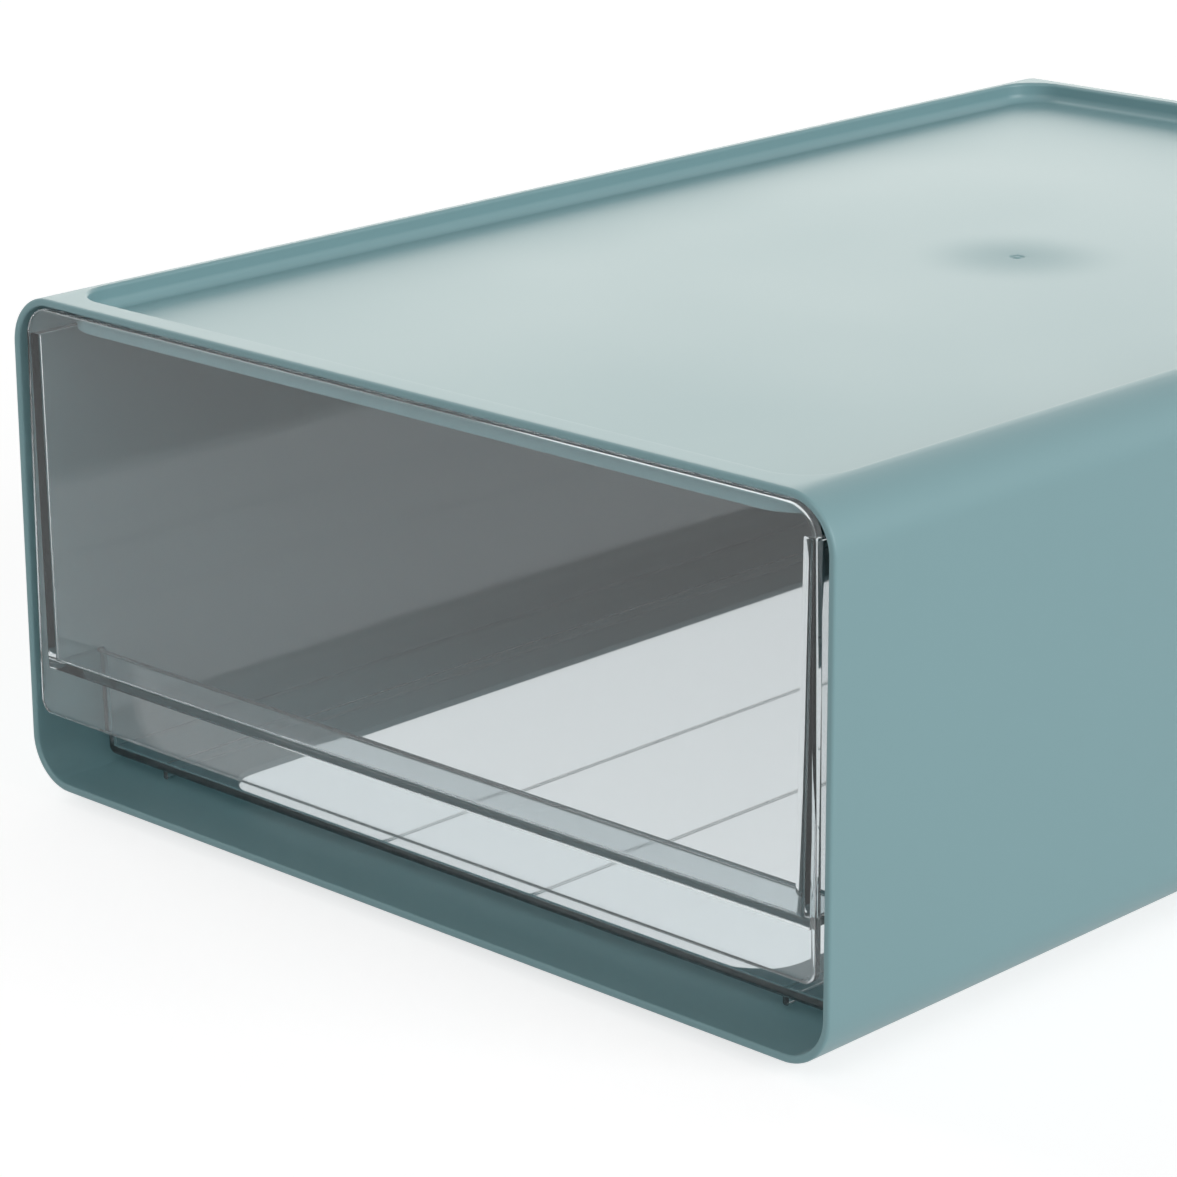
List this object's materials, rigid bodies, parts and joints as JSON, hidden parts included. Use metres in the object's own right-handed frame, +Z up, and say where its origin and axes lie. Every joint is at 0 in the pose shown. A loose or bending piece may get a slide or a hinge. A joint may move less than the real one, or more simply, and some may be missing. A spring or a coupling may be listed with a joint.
{
  "type": "stackable drawer box",
  "caption": "Low moulded box, open at the front, with one clear pull-out drawer, a finger slot under its front panel and a recessed top for stacking.",
  "frame": {"origin": "middle of the footprint, on the surface that the foot ring stands on", "axes": "+Y runs from the open front to the closed back, +Z up, +X to the right seen from the front"},
  "size_m": [0.245, 0.364, 0.121],
  "materials": {
    "shell_plastic": "satin moulded plastic in a pale grey teal",
    "clear_plastic": "polished clear plastic"
  },
  "bodies": {
    "shell": {"shell": "shell_plastic"},
    "drawer": {"drawer": "clear_plastic"}
  },
  "joints": [
    {"name": "drawer_slide", "type": "slide", "parent": "shell", "child": "drawer", "axis": [0, -1, 0], "range_m": [0, 0.26]}
  ]
}
